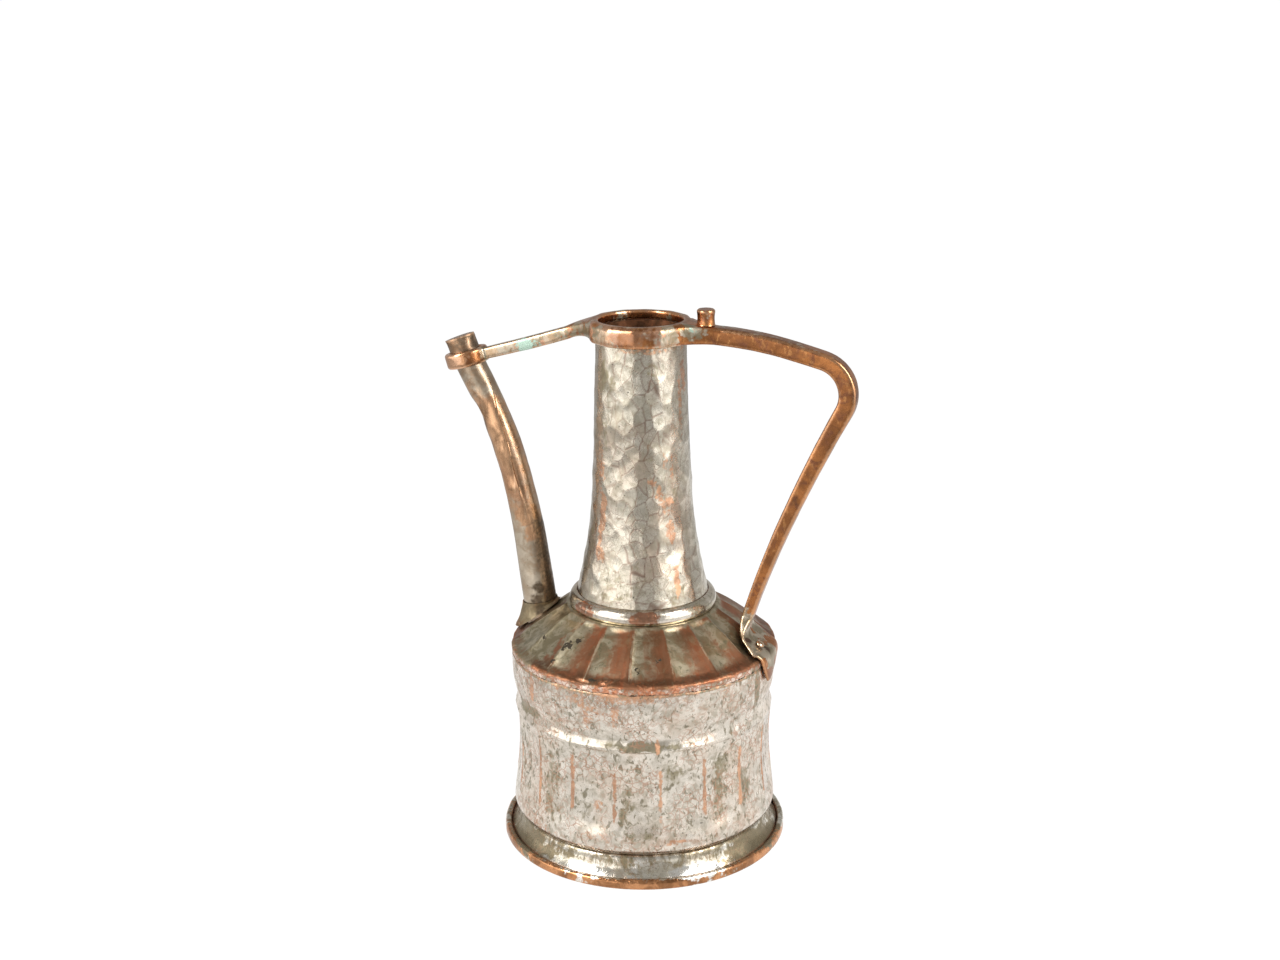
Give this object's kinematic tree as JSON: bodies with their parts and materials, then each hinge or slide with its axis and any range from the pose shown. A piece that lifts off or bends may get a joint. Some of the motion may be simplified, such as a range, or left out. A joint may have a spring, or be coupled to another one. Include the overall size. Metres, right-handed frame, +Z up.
{
  "type": "copper jug",
  "caption": "Tinned copper ewer with a fluted drum and shoulder, a tall tapering neck, a curved spout and a one-piece mouth collar, brace and handle.",
  "frame": {"origin": "middle of the whole outline at the surface that the foot stands on", "axes": "+Z up along the neck, +X towards the handle, -X towards the spout"},
  "size_m": [0.228, 0.159, 0.2987],
  "materials": {
    "tinned_copper": "hammered copper sheet under worn, mottled tin",
    "worn_copper": "copper sheet, tin left in part, brown and grey-green",
    "bare_copper": "forged copper, brown, bright on the edges",
    "dull_copper": "rolled copper sheet with dull tin and dark solder",
    "iron_wire": "dark iron wire"
  },
  "bodies": {
    "root": {"foot_ring": "tinned_copper", "foot_rim_wire": "iron_wire", "drum": "tinned_copper", "bottom_disc": "tinned_copper", "shoulder": "worn_copper", "neck": "tinned_copper", "neck_ring": "tinned_copper", "mouth_and_handle_casting": "bare_copper", "spout": "dull_copper", "spout_root_collar": "dull_copper", "lid_pin": "bare_copper", "handle_rivet": "bare_copper"}
  },
  "joints": []
}
